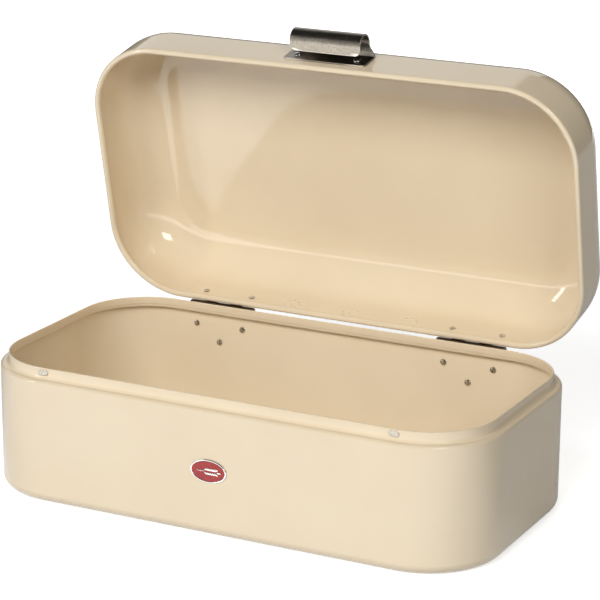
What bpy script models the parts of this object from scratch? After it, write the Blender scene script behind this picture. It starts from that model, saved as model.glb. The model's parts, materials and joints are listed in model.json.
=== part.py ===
"""Bread bin with a hinged lid, standing open. Metres, +Z up, the front faces -Y.

The origin is the centre of the base's flat underside.
The lid's pieces are modelled shut, around the hinge axis, and the lid_axis empty turns them open.
Run with: blender --background --python part.py
"""
import math

import bmesh
import bpy
from mathutils import Matrix, Vector

MM = 0.001

# Body sizes
WIDTH = 420.0 * MM
DEPTH = 222.4 * MM
PLAN_RADIUS = 60.7 * MM        # vertical corners of base and lid, seen from above
SHOULDER_Z = 99.4 * MM         # top of the base's ledge, where the lid shuts
LID_HEIGHT = 65.4 * MM         # from the seam to the lid's flat top
SHEET = 0.7 * MM               # pressed steel sheet
GAP = 0.3 * MM                 # between pieces that touch

# Base section
BOTTOM_RADIUS = 8.6 * MM
SHOULDER_RADIUS = 2.3 * MM
NECK_INSET = 6.4 * MM
NECK_HEIGHT = 8.6 * MM
HEM_THICKNESS = 1.5 * MM       # the neck's edge is folded back on its inner side
HEM_HEIGHT = 5.8 * MM

# Lid section
TOP_RADIUS = 35.0 * MM
CURL_RADIUS = 2.45 * MM        # rolled lower edge
CURL_TURN = 300.0              # degrees
CURL_STEPS = 8
TOP_STEPS = 6
SEAM_GAP = 0.4 * MM
CORNER_STEPS = 8

# Hinges
OPEN_ANGLE = math.radians(77.96)
AXIS_Y = DEPTH / 2 + 4.6 * MM
AXIS_Z = SHOULDER_Z + 3.9 * MM
HINGE_X = 112.0 * MM
HINGE_WIDTH = 58.0 * MM
KNUCKLES = 5
KNUCKLE_RADIUS = 2.85 * MM
LEAF_SHEET = 1.2 * MM
LEAF_SPARE = 2.0 * MM          # the sheet's excess, trimmed off by the leaf's outline
KNUCKLE_GAP = 0.4 * MM
PIN_RADIUS = 1.5 * MM
PIN_HEAD_RADIUS = 2.4 * MM
PIN_HEAD = 1.0 * MM
PIN_PLAY = 0.2 * MM
CRANK_NEAR = 8.5 * MM          # the leaf steps towards the wall between these distances
CRANK_FAR = 11.0 * MM          # from the axis
LID_CRANK_NEAR = 4.2 * MM
LID_CRANK_FAR = 7.0 * MM
SLOT_REACH = 3.6 * MM          # depth of a leaf's slots, from the axis
WRAP = 290.0                   # degrees of knuckle roll
STOP_REACH = 8.0 * MM
STOP_THICKNESS = 1.6 * MM
STOP_INSET = 0.5 * MM          # each side, from the knuckle's ends
BASE_LEAF_DROP = 32.5 * MM     # leaf's lower end below the shoulder
LID_LEAF_RISE = 22.0 * MM      # leaf's upper end above the seam
LEAF_CORNER = 3.0 * MM
LEAF_TAIL_RADIUS = 7.0 * MM

# Rivets, as distances from the hinge's centre and from the shoulder
RIVET_X = 21.3 * MM
BASE_RIVET_DROP = 11.6 * MM
BASE_TAIL_DROP = 25.5 * MM
LID_RIVET_RISE = 16.7 * MM
RIVET_RADIUS = 1.5 * MM
RIVET_HEAD_RADIUS = 2.7 * MM
RIVET_TAIL_RADIUS = 2.4 * MM
RIVET_STEPS = 8
RIVET_HOLE_RADIUS = RIVET_RADIUS + GAP
RIVET_FLANGE = 0.9 * MM        # height of the flange inside the bin
RIVET_RECESS_RADIUS = 0.8 * MM
RIVET_RECESS = 0.5 * MM        # depth left by the broken mandrel
RIVET_TAIL = 1.4 * MM

# Vents in the lid's back wall
VENT_SPACING = 53.0 * MM
VENT_RISE = 16.0 * MM
VENT_RING = 6.2 * MM
VENT_HOLES = 8
VENT_RADIUS = 0.95 * MM

# Handle on the lid's front wall; u runs out from the wall and h up from the seam
HANDLE_PLATE_WIDTH = 70.4 * MM
HANDLE_GRIP_WIDTH = 60.4 * MM
HANDLE_TAPER = 9.0 * MM        # length past the fold over which the plate's width becomes the grip's
HANDLE_SHEET = 1.2 * MM
HANDLE_FOOT_H = 8.5 * MM
HANDLE_TOP_H = 28.4 * MM
HANDLE_FOLD_RADIUS = 1.0 * MM
HANDLE_FOLD_STEPS = 3
HANDLE_NOSE_STEPS = 14
HANDLE_NOSE = (12.2 * MM, 22.0 * MM)
HANDLE_NOSE_RADIUS = 9.2 * MM
HANDLE_LIP_U = 6.5 * MM
HANDLE_PLATE_CORNER = 3.5 * MM
HANDLE_LIP_CORNER = 5.5 * MM
HANDLE_RIVET_X = 25.4 * MM
HANDLE_RIVET_H = 16.8 * MM
HANDLE_RIVET_HEAD = 3.3 * MM
HANDLE_RIVET_RISE = 1.7 * MM

# Small pieces
BADGE_WIDTH = 30.3 * MM
BADGE_HEIGHT = 18.4 * MM
BADGE_Z = 52.3 * MM
BADGE_RIM = 1.4 * MM
BADGE_DEPTH = 1.0 * MM
BUMPER_X = 147.0 * MM
BUMPER_WIDTH = 8.4 * MM
BUMPER_HEIGHT = 4.4 * MM
BUMPER_DEPTH = 0.9 * MM
BUMPER_DROP = 1.4 * MM         # below the neck's edge

# Base colour, roughness and metallic value of each finish
FINISHES = {
    "cream_enamel": ((0.84, 0.75, 0.58, 1.0), 0.18, 0.0),
    "hinge_steel": ((0.16, 0.13, 0.10, 1.0), 0.42, 1.0),
    "pin_steel": ((0.42, 0.38, 0.33, 1.0), 0.35, 1.0),
    "rivet_steel": ((0.62, 0.60, 0.56, 1.0), 0.22, 1.0),
    "handle_steel": ((0.55, 0.53, 0.50, 1.0), 0.38, 1.0),
    "silicone": ((0.86, 0.87, 0.84, 0.6), 0.25, 0.0),
    "badge_metal": ((0.70, 0.70, 0.68, 1.0), 0.20, 1.0),
    "badge_enamel": ((0.45, 0.03, 0.02, 1.0), 0.20, 0.0),
}


# ---------------------------------------------------------------- scene helpers

def clear_scene():
    for obj in list(bpy.data.objects):
        bpy.data.objects.remove(obj, do_unlink=True)


def new_collection(name):
    collection = bpy.data.collections.new(name)
    bpy.context.scene.collection.children.link(collection)
    return collection


def finish(name, piece):
    """A piece's own material, with the colour and gloss of one of the finishes."""
    colour, roughness, metallic = FINISHES[name]
    material = bpy.data.materials.new(f"{piece}_{name}")
    material.use_nodes = True
    shader = material.node_tree.nodes["Principled BSDF"]
    shader.inputs["Base Color"].default_value = colour
    shader.inputs["Roughness"].default_value = roughness
    shader.inputs["Metallic"].default_value = metallic
    shader.inputs["Alpha"].default_value = colour[3]
    return material


def add_piece(name, mesh, finish_name, parent=None, location=(0, 0, 0), rotation=(0, 0, 0)):
    mesh.shade_smooth()
    mesh.set_sharp_from_angle(angle=math.radians(35))
    mesh.name = name
    obj = bpy.data.objects.new(name, mesh)
    obj.location = location
    obj.rotation_euler = rotation
    obj.parent = parent
    mesh.materials.clear()
    mesh.materials.append(finish(finish_name, name))
    PARTS.objects.link(obj)
    return obj


def add_cutter(name, mesh, parent=None):
    obj = bpy.data.objects.new(name, mesh)
    obj.display_type = "WIRE"
    obj.hide_render = True
    obj.parent = parent
    CUTTERS.objects.link(obj)
    return obj


def boolean(obj, cutter, operation):
    modifier = obj.modifiers.new(cutter.name, "BOOLEAN")
    modifier.operation = operation
    modifier.solver = "EXACT"
    modifier.object = cutter


def mesh_from(bm, name):
    bmesh.ops.recalc_face_normals(bm, faces=bm.faces)
    mesh = bpy.data.meshes.new(name)
    bm.to_mesh(mesh)
    bm.free()
    return mesh


# ---------------------------------------------------------------- shape helpers

def arc(centre, radius, start, end, steps):
    """Points on an arc between two angles in degrees."""
    points = []
    for i in range(steps + 1):
        angle = math.radians(start + (end - start) * i / steps)
        points.append((centre[0] + radius * math.cos(angle), centre[1] + radius * math.sin(angle)))
    return points


def plan_ring(inset, z):
    """The body's rounded rectangle, moved inwards by inset, at height z."""
    radius = PLAN_RADIUS - inset
    centre_x = WIDTH / 2 - PLAN_RADIUS
    centre_y = DEPTH / 2 - PLAN_RADIUS
    ring = []
    for side_x, side_y, start in ((1, 1, 0), (-1, 1, 90), (-1, -1, 180), (1, -1, 270)):
        corner = (side_x * centre_x, side_y * centre_y)
        for x, y in arc(corner, radius, start, start + 90, CORNER_STEPS):
            ring.append(Vector((x, y, z)))
    return ring


def loft(rings):
    """A closed body through rings of equal length, with a flat face on the first and last."""
    bm = bmesh.new()
    loops = [[bm.verts.new(point) for point in ring] for ring in rings]
    for first, second in zip(loops, loops[1:]):
        for i in range(len(first)):
            j = (i + 1) % len(first)
            bm.faces.new((first[i], first[j], second[j], second[i]))
    bm.faces.new(loops[0])
    bm.faces.new(loops[-1])
    return bm


def sheet_outline(path, thickness):
    """Both sides of a bent sheet whose middle follows the path."""
    sides = ([], [])
    for i, point in enumerate(path):
        before = Vector(path[max(i - 1, 0)])
        after = Vector(path[min(i + 1, len(path) - 1)])
        here = Vector(point)
        normal = Vector((0, 0))
        for start, end in ((before, here), (here, after)):
            if (end - start).length > 0:
                along = (end - start).normalized()
                normal += Vector((-along.y, along.x))
        normal.normalize()
        along = (after - here if i == 0 else here - before).normalized()
        mitre = max(0.5, normal.dot(Vector((-along.y, along.x))))
        for side, sign in zip(sides, (1, -1)):
            side.append(here + normal * (sign * thickness / 2 / mitre))
    return sides[0] + sides[1][::-1]


def extruded_mesh(name, outline, length, axes):
    """A flat outline extruded evenly about its plane; axes turns its XYZ into the piece's."""
    curve = bpy.data.curves.new(name, "CURVE")
    curve.dimensions = "2D"
    curve.fill_mode = "BOTH"
    curve.extrude = length / 2
    spline = curve.splines.new("POLY")
    spline.points.add(len(outline) - 1)
    for point, (x, y) in zip(spline.points, outline):
        point.co = (x, y, 0, 1)
    spline.use_cyclic_u = True
    holder = bpy.data.objects.new(name, curve)
    bpy.context.scene.collection.objects.link(holder)
    graph = bpy.context.evaluated_depsgraph_get()
    mesh = bpy.data.meshes.new_from_object(holder.evaluated_get(graph))
    bpy.data.objects.remove(holder)
    bm = bmesh.new()
    bm.from_mesh(mesh)
    bmesh.ops.remove_doubles(bm, verts=bm.verts, dist=0.001 * MM)
    bmesh.ops.transform(bm, matrix=axes, verts=bm.verts)
    bmesh.ops.recalc_face_normals(bm, faces=bm.faces)
    bm.to_mesh(mesh)
    bm.free()
    return mesh


def turned_mesh(name, profile):
    """The open outline of a turned piece, from its top to its bottom on the +X side."""
    mesh = bpy.data.meshes.new(name)
    points = [(radius, 0, z) for radius, z in profile]
    edges = [(i, i + 1) for i in range(len(points) - 1)]
    mesh.from_pydata(points, edges, [])
    return mesh


def add_turned(name, profile, finish_name, steps, parent, location, rotation):
    obj = add_piece(name, turned_mesh(name, profile), finish_name, parent, location, rotation)
    screw = obj.modifiers.new("turn", "SCREW")
    screw.steps = steps
    screw.render_steps = steps
    screw.use_merge_vertices = True
    screw.merge_threshold = 0.001 * MM
    screw.use_smooth_shade = True
    return obj


def drill(target, name, places, radius, parent=None):
    """Cuts round holes along Y through a wall at each (x, y, z)."""
    sides = 8 if radius < RIVET_RADIUS else 12
    bm = bmesh.new()
    for place in places:
        turn = Matrix.Rotation(math.radians(90), 4, "X")
        bmesh.ops.create_cone(bm, cap_ends=True, segments=sides, radius1=radius, radius2=radius,
                              depth=6 * MM, matrix=Matrix.Translation(place) @ turn)
    boolean(target, add_cutter(name, mesh_from(bm, name), parent), "DIFFERENCE")


def from_axis(x, y, z):
    """A place in the shut lid, as lid_axis sees it."""
    return Vector((x, y - AXIS_Y, z - AXIS_Z))


# ---------------------------------------------------------------- base and lid shells

def base_profile():
    """Outer skin from the underside up to the neck's hem, then the inner skin back down."""
    floor_centre = (BOTTOM_RADIUS, BOTTOM_RADIUS)
    shoulder_centre = (SHOULDER_RADIUS, SHOULDER_Z - SHOULDER_RADIUS)
    root_centre = (NECK_INSET - SHOULDER_RADIUS, SHOULDER_Z + SHOULDER_RADIUS)
    hem = HEM_THICKNESS / 2
    neck_top = SHOULDER_Z + NECK_HEIGHT
    hem_foot = neck_top - HEM_HEIGHT
    profile = arc(floor_centre, BOTTOM_RADIUS, 270, 180, 4)
    profile += arc(shoulder_centre, SHOULDER_RADIUS, 180, 90, 3)
    profile += arc(root_centre, SHOULDER_RADIUS, 270, 360, 3)
    profile += arc((NECK_INSET + hem, neck_top - hem), hem, 180, 0, 3)
    profile += [(NECK_INSET + HEM_THICKNESS, hem_foot), (NECK_INSET + SHEET, hem_foot)]
    profile += arc(root_centre, SHOULDER_RADIUS + SHEET, 360, 270, 3)
    profile += arc(shoulder_centre, SHOULDER_RADIUS - SHEET, 90, 180, 3)
    profile += arc(floor_centre, BOTTOM_RADIUS - SHEET, 180, 270, 4)
    return profile


def lid_profile():
    """Outer skin from the top down round the rolled edge, then the inner skin back up."""
    top_centre = (TOP_RADIUS, SHOULDER_Z + LID_HEIGHT - TOP_RADIUS)
    curl_centre = (CURL_RADIUS, SHOULDER_Z + SEAM_GAP + CURL_RADIUS)
    curl_end = 180 + CURL_TURN
    profile = arc(top_centre, TOP_RADIUS, 90, 180, TOP_STEPS)
    profile += arc(curl_centre, CURL_RADIUS, 180, curl_end, CURL_STEPS)
    profile += arc(curl_centre, CURL_RADIUS - SHEET, curl_end, 180, CURL_STEPS)
    profile += arc(top_centre, TOP_RADIUS - SHEET, 180, 90, TOP_STEPS)
    return profile


def base_rivet_places():
    places = []
    for side in (-1, 1):
        for shift, drop in ((-RIVET_X, BASE_RIVET_DROP), (RIVET_X, BASE_RIVET_DROP), (0, BASE_TAIL_DROP)):
            places.append(Vector((side * HINGE_X + shift, DEPTH / 2, SHOULDER_Z - drop)))
    return places


def lid_rivet_places():
    places = []
    for side in (-1, 1):
        for shift in (-RIVET_X, RIVET_X):
            x = side * HINGE_X + shift
            places.append(Vector((x, DEPTH / 2, SHOULDER_Z + LID_RIVET_RISE)))
    return places


def handle_rivet_places():
    return [Vector((side * HANDLE_RIVET_X, -DEPTH / 2, SHOULDER_Z + HANDLE_RIVET_H)) for side in (-1, 1)]


def vent_places():
    """Three rosettes, each a ring of holes round one in the middle."""
    places = []
    for column in (-1, 0, 1):
        centre = Vector((column * VENT_SPACING, DEPTH / 2, SHOULDER_Z + VENT_RISE))
        places.append(centre)
        for x, z in arc((centre.x, centre.z), VENT_RING, 0, 360, VENT_HOLES)[:-1]:
            places.append(Vector((x, DEPTH / 2, z)))
    return places


def make_base_shell():
    rings = [plan_ring(inset, z) for inset, z in base_profile()]
    base = add_piece("base_shell", mesh_from(loft(rings), "base_shell"), "cream_enamel")
    drill(base, "base_rivet_holes", base_rivet_places(), RIVET_HOLE_RADIUS)


def make_lid_shell(lid_axis):
    rings = [[from_axis(*point) for point in plan_ring(inset, z)] for inset, z in lid_profile()]
    lid = add_piece("lid_shell", mesh_from(loft(rings), "lid_shell"), "cream_enamel", lid_axis)
    rivet_holes = [from_axis(*place) for place in lid_rivet_places() + handle_rivet_places()]
    drill(lid, "lid_rivet_holes", rivet_holes, RIVET_HOLE_RADIUS, lid_axis)
    drill(lid, "vent_holes", [from_axis(*place) for place in vent_places()], VENT_RADIUS, lid_axis)


# ---------------------------------------------------------------- hinges

def leaf_path(up, near, far, end):
    """Middle of a leaf's sheet, in Y and Z from the axis: flat, crank, then the rolled knuckle.

    up is 1 for the leaf that rises from the axis and -1 for the one that hangs from it.
    """
    knuckle = KNUCKLE_RADIUS - LEAF_SHEET / 2
    wall = DEPTH / 2 - AXIS_Y + GAP + LEAF_SHEET / 2
    path = [(wall, up * (end + LEAF_SPARE)), (wall, up * far), (-knuckle, up * near)]
    path += arc((0, 0), knuckle, 180, 180 + up * WRAP, 12)
    return path


def knuckle_edges(first):
    """Left and right ends of every second knuckle, from the hinge's middle."""
    pitch = HINGE_WIDTH / KNUCKLES
    edges = []
    for i in range(first, KNUCKLES, 2):
        left = -HINGE_WIDTH / 2 + i * pitch
        right = left + pitch
        left += KNUCKLE_GAP / 2 if i > 0 else 0
        right -= KNUCKLE_GAP / 2 if i < KNUCKLES - 1 else 0
        edges.append((left, right))
    return edges


def leaf_outline(up, first, foot):
    """A leaf seen square on: knuckles with slots between them, then the foot's points."""
    outline = []
    slot = up * SLOT_REACH
    beyond = -up * 2 * KNUCKLE_RADIUS
    half = HINGE_WIDTH / 2
    if first > 0:
        outline.append((-half, slot))
    for left, right in knuckle_edges(first):
        outline += [(left, slot), (left, beyond), (right, beyond), (right, slot)]
    if first > 0:
        outline.append((half, slot))
    else:
        outline = outline[1:-1]
    return outline + foot


def base_foot():
    """The base leaf's lower edge narrows to a round tail about its lowest rivet."""
    tail_z = SHOULDER_Z - BASE_TAIL_DROP - AXIS_Z
    shoulder_z = SHOULDER_Z - BASE_RIVET_DROP - AXIS_Z
    half = HINGE_WIDTH / 2
    corner = half - LEAF_CORNER
    foot = arc((corner, shoulder_z - LEAF_CORNER), LEAF_CORNER, 0, -60, 3)
    foot += arc((0, tail_z), LEAF_TAIL_RADIUS, -45, -135, 6)
    foot += arc((-corner, shoulder_z - LEAF_CORNER), LEAF_CORNER, -120, -180, 3)
    return foot


def lid_foot():
    end = SHOULDER_Z + LID_LEAF_RISE - AXIS_Z
    corner = HINGE_WIDTH / 2 - LEAF_CORNER
    foot = arc((corner, end - LEAF_CORNER), LEAF_CORNER, 0, 90, 3)
    foot += arc((-corner, end - LEAF_CORNER), LEAF_CORNER, 90, 180, 3)
    return foot


def leaf(name, path, outline, parent, location):
    """A bent sheet, trimmed to the leaf's outline."""
    along_x = Matrix(((0, 0, 1, 0), (1, 0, 0, 0), (0, 1, 0, 0), (0, 0, 0, 1)))
    along_y = Matrix(((1, 0, 0, 0), (0, 0, -1, 0), (0, 1, 0, 0), (0, 0, 0, 1)))
    sheet_width = HINGE_WIDTH + LEAF_SPARE
    sheet = extruded_mesh(name, sheet_outline(path, LEAF_SHEET), sheet_width, along_x)
    obj = add_piece(name, sheet, "hinge_steel", parent, location)
    trim = add_cutter(f"{name}_trim", extruded_mesh(name, outline, 30 * MM, along_y), parent)
    trim.location = location
    boolean(obj, trim, "INTERSECT")
    return obj


def add_stops(lid_leaf, name, lid_axis, hinge_x):
    """Lugs on the lid's knuckles, which lie against the base leaf when the lid stands open."""
    front = -(KNUCKLE_RADIUS - LEAF_SHEET) + GAP
    top = -(PIN_RADIUS + PIN_PLAY + KNUCKLE_RADIUS) / 2 + PIN_PLAY
    bm = bmesh.new()
    for left, right in knuckle_edges(1):
        size = Vector((right - left - 2 * STOP_INSET, STOP_THICKNESS, STOP_REACH + top))
        centre = Vector(((left + right) / 2, front + STOP_THICKNESS / 2, top - size.z / 2))
        box = bmesh.ops.create_cube(bm, size=1)["verts"]
        bmesh.ops.scale(bm, vec=size, verts=box)
        bmesh.ops.translate(bm, vec=centre, verts=box)
    turn = Matrix.Rotation(OPEN_ANGLE, 4, "X")
    bmesh.ops.transform(bm, matrix=Matrix.Translation((hinge_x, 0, 0)) @ turn, verts=bm.verts)
    lugs = add_cutter(f"{name}_stop_lugs", mesh_from(bm, name), lid_axis)
    boolean(lid_leaf, lugs, "UNION")


def pin_profile():
    half = HINGE_WIDTH / 2
    head = half + PIN_PLAY
    chamfer = 0.3 * MM
    return [(0, half + 2 * chamfer), (PIN_RADIUS - chamfer, half + 2 * chamfer),
            (PIN_RADIUS, half + chamfer), (PIN_RADIUS, -head), (PIN_HEAD_RADIUS, -head),
            (PIN_HEAD_RADIUS, -head - PIN_HEAD / 2), (PIN_RADIUS, -head - PIN_HEAD),
            (0, -head - PIN_HEAD)]


def make_hinge(side, lid_axis):
    x = (1 if side == "right" else -1) * HINGE_X
    base_path = leaf_path(-1, CRANK_NEAR, CRANK_FAR, AXIS_Z - SHOULDER_Z + BASE_LEAF_DROP)
    base_leaf = leaf(f"hinge_{side}_base_leaf", base_path, leaf_outline(-1, 0, base_foot()),
                     None, (x, AXIS_Y, AXIS_Z))
    base_places = [place for place in base_rivet_places() if place.x * x > 0]
    drill(base_leaf, f"hinge_{side}_base_holes", base_places, RIVET_HOLE_RADIUS)
    lid_path = leaf_path(1, LID_CRANK_NEAR, LID_CRANK_FAR, SHOULDER_Z + LID_LEAF_RISE - AXIS_Z)
    lid_leaf = leaf(f"hinge_{side}_lid_leaf", lid_path, leaf_outline(1, 1, lid_foot()),
                    lid_axis, (x, 0, 0))
    add_stops(lid_leaf, f"hinge_{side}", lid_axis, x)
    lid_places = [from_axis(*place) for place in lid_rivet_places() if place.x * x > 0]
    drill(lid_leaf, f"hinge_{side}_lid_holes", lid_places, RIVET_HOLE_RADIUS, lid_axis)
    add_turned(f"hinge_{side}_pin", pin_profile(), "pin_steel", 16, None,
               (x, AXIS_Y, AXIS_Z), (0, math.radians(90), 0))


# ---------------------------------------------------------------- rivets

def blind_rivet_profile():
    """Z runs into the bin from the wall's inner face: flange with its recess, shank, outer tail."""
    top = GAP + RIVET_FLANGE
    floor = top - RIVET_RECESS
    tail = -(SHEET + 2 * GAP + LEAF_SHEET)
    end = tail - RIVET_TAIL
    crown = 0.5 * MM
    return [(0, floor), (RIVET_RECESS_RADIUS, floor), (RIVET_RECESS_RADIUS, top),
            (RIVET_RECESS_RADIUS + crown, top), (RIVET_HEAD_RADIUS - crown, top - RIVET_FLANGE / 3),
            (RIVET_HEAD_RADIUS, GAP + 0.2 * MM), (RIVET_HEAD_RADIUS, GAP), (RIVET_RADIUS, GAP),
            (RIVET_RADIUS, tail), (RIVET_TAIL_RADIUS, tail), (RIVET_TAIL_RADIUS, tail - 0.8 * MM),
            (RIVET_RADIUS, end), (0, end)]


def dome_rivet_profile():
    """Z runs outwards from the handle plate's face: dome, shank, then the flat inner tail."""
    tail = -(HANDLE_SHEET + GAP + SHEET + GAP)
    end = tail - RIVET_FLANGE
    chamfer = 0.4 * MM
    profile = [(0, GAP + HANDLE_RIVET_RISE)]
    for x, z in arc((0, 0), 1, 65, 15, 2):
        profile.append((HANDLE_RIVET_HEAD * x, GAP + HANDLE_RIVET_RISE * z))
    profile += [(HANDLE_RIVET_HEAD, GAP), (RIVET_RADIUS, GAP), (RIVET_RADIUS, tail),
                (RIVET_HEAD_RADIUS, tail), (RIVET_HEAD_RADIUS, end + chamfer),
                (RIVET_HEAD_RADIUS - chamfer, end), (0, end)]
    return profile


def make_rivets(lid_axis):
    inwards = (math.radians(90), 0, 0)
    for i, place in enumerate(base_rivet_places()):
        side = "left" if place.x < 0 else "right"
        name = f"hinge_{side}_base_rivet_{i % 3 + 1}"
        add_turned(name, blind_rivet_profile(), "rivet_steel", RIVET_STEPS, None,
                   place - Vector((0, SHEET, 0)), inwards)
    for i, place in enumerate(lid_rivet_places()):
        side = "left" if place.x < 0 else "right"
        name = f"hinge_{side}_lid_rivet_{i % 2 + 1}"
        add_turned(name, blind_rivet_profile(), "rivet_steel", RIVET_STEPS, lid_axis,
                   from_axis(*place) - Vector((0, SHEET, 0)), inwards)
    for side, place in zip(("left", "right"), handle_rivet_places()):
        face = from_axis(*place) - Vector((0, GAP + HANDLE_SHEET, 0))
        add_turned(f"handle_rivet_{side}", dome_rivet_profile(), "rivet_steel", 2 * RIVET_STEPS, lid_axis,
                   face, inwards)


# ---------------------------------------------------------------- handle

def handle_path():
    """Middle of the handle's sheet in (u, h): plate, tight fold, slope, round nose and lip."""
    half = HANDLE_SHEET / 2
    plate_u = GAP + half
    fold = HANDLE_FOLD_RADIUS
    fold_centre = (plate_u + fold, HANDLE_TOP_H - half - fold)
    nose_radius = HANDLE_NOSE_RADIUS - half
    run = Vector(HANDLE_NOSE) - Vector(fold_centre)
    slope = math.atan2(run.y, run.x) + math.asin((nose_radius - fold) / run.length)
    tangent = 90 + math.degrees(slope)
    path = [(plate_u, HANDLE_FOOT_H)]
    path += arc(fold_centre, fold, 180, tangent, HANDLE_FOLD_STEPS)
    path += arc(HANDLE_NOSE, nose_radius, tangent, -90, HANDLE_NOSE_STEPS)
    path += [(HANDLE_LIP_U, HANDLE_NOSE[1] - nose_radius)]
    return [Vector(point) for point in path]


def handle_half_width(along, fold_end, total):
    """Half the sheet's width at a distance along it: rounded ends, and a taper past the fold."""
    plate = HANDLE_PLATE_WIDTH / 2
    grip = HANDLE_GRIP_WIDTH / 2
    share = min(max((along - fold_end) / HANDLE_TAPER, 0), 1)
    half = plate + (grip - plate) * (1 - math.cos(math.pi * share)) / 2
    for radius, left in ((HANDLE_PLATE_CORNER, along), (HANDLE_LIP_CORNER, total - along)):
        if left < radius:
            half -= radius - math.sqrt(radius ** 2 - (radius - left) ** 2)
    return half


def handle_stations(fold_end, total):
    """Extra distances along the sheet where its outline turns: both rounded ends and the taper."""
    stations = set()
    for share in (0.15, 0.5, 1.0):
        stations |= {HANDLE_PLATE_CORNER * share, total - HANDLE_LIP_CORNER * share}
    for step in (1, 2, 3):
        stations.add(fold_end + HANDLE_TAPER * step / 3)
    return stations


def make_handle(lid_axis):
    """A flat blank with rounded ends, bent along the path and thickened into sheet."""
    path = handle_path()
    lengths = [0.0]
    for first, second in zip(path, path[1:]):
        lengths.append(lengths[-1] + (second - first).length)
    total = lengths[-1]
    fold_end = lengths[HANDLE_FOLD_STEPS + 1]
    bm = bmesh.new()
    before = None
    for along in sorted(handle_stations(fold_end, total) | set(lengths)):
        k = max(i for i in range(len(lengths) - 1) if lengths[i] <= along)
        u, h = path[k].lerp(path[k + 1], (along - lengths[k]) / (lengths[k + 1] - lengths[k]))
        half = handle_half_width(along, fold_end, total)
        row = [bm.verts.new((x, -u, h)) for x in (-half, half)]
        if before:
            bm.faces.new((before[0], before[1], row[1], row[0]))
        before = row
    mesh = mesh_from(bm, "handle")
    handle = add_piece("handle", mesh, "handle_steel", lid_axis, from_axis(0, -DEPTH / 2, SHOULDER_Z))
    sheet = handle.modifiers.new("sheet", "SOLIDIFY")
    sheet.thickness = HANDLE_SHEET
    sheet.offset = 0
    sheet.use_even_offset = True
    places = [from_axis(*place) for place in handle_rivet_places()]
    drill(handle, "handle_rivet_holes", places, RIVET_HOLE_RADIUS, lid_axis)


# ---------------------------------------------------------------- small pieces

def oval(width, height, steps):
    return [(width / 2 * x, height / 2 * y) for x, y in arc((0, 0), 1, 0, 360, steps)[:-1]]


def make_badge():
    """A plain oval rim with an enamel field set in it, stuck to the front wall."""
    facing_front = Matrix(((1, 0, 0, 0), (0, 0, -1, 0), (0, 1, 0, 0), (0, 0, 0, 1)))
    rim_y = -DEPTH / 2 - GAP - BADGE_DEPTH / 2
    rim_mesh = extruded_mesh("badge_rim", oval(BADGE_WIDTH, BADGE_HEIGHT, 32), BADGE_DEPTH, facing_front)
    rim = add_piece("badge_rim", rim_mesh, "badge_metal", None, (0, rim_y, BADGE_Z))
    field_size = (BADGE_WIDTH - 2 * BADGE_RIM, BADGE_HEIGHT - 2 * BADGE_RIM)
    pocket_size = (field_size[0] + 2 * GAP, field_size[1] + 2 * GAP)
    pocket_mesh = extruded_mesh("badge_pocket", oval(*pocket_size, 32), BADGE_DEPTH, facing_front)
    pocket = add_cutter("badge_pocket", pocket_mesh)
    pocket.location = (0, rim_y - BADGE_DEPTH / 2, BADGE_Z)
    boolean(rim, pocket, "DIFFERENCE")
    field_depth = BADGE_DEPTH / 2 - GAP
    field_mesh = extruded_mesh("badge_field", oval(*field_size, 32), field_depth, facing_front)
    field_y = rim_y - GAP - field_depth / 2
    add_piece("badge_field", field_mesh, "badge_enamel", None, (0, field_y, BADGE_Z))


def make_bumpers():
    """Silicone pads on the front of the neck, which keep the shut lid from rattling."""
    for side, sign in (("left", -1), ("right", 1)):
        bm = bmesh.new()
        bmesh.ops.create_cube(bm, size=1)
        size = (BUMPER_WIDTH, BUMPER_DEPTH, BUMPER_HEIGHT)
        bmesh.ops.scale(bm, vec=size, verts=bm.verts)
        upright = [edge for edge in bm.edges
                   if abs(edge.verts[0].co.y - edge.verts[1].co.y) > BUMPER_DEPTH / 2]
        bmesh.ops.bevel(bm, geom=upright, offset=BUMPER_HEIGHT * 0.48, segments=4, profile=0.5,
                        affect="EDGES")
        y = -DEPTH / 2 + NECK_INSET - GAP - BUMPER_DEPTH / 2
        z = SHOULDER_Z + NECK_HEIGHT - BUMPER_DROP - BUMPER_HEIGHT / 2
        add_piece(f"bumper_{side}", mesh_from(bm, "bumper"), "silicone", None, (sign * BUMPER_X, y, z))


def make_lid_axis():
    lid_axis = bpy.data.objects.new("lid_axis", None)
    lid_axis.location = (0, AXIS_Y, AXIS_Z)
    lid_axis.rotation_euler = (-OPEN_ANGLE, 0, 0)
    PARTS.objects.link(lid_axis)
    return lid_axis


def build():
    lid_axis = make_lid_axis()
    make_base_shell()
    make_lid_shell(lid_axis)
    make_hinge("left", lid_axis)
    make_hinge("right", lid_axis)
    make_rivets(lid_axis)
    make_handle(lid_axis)
    make_badge()
    make_bumpers()


clear_scene()
PARTS = new_collection("bread_bin")
CUTTERS = new_collection("cutters")
build()
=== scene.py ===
import json
import math

import bmesh
import bpy
from mathutils import Matrix, Vector


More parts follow.
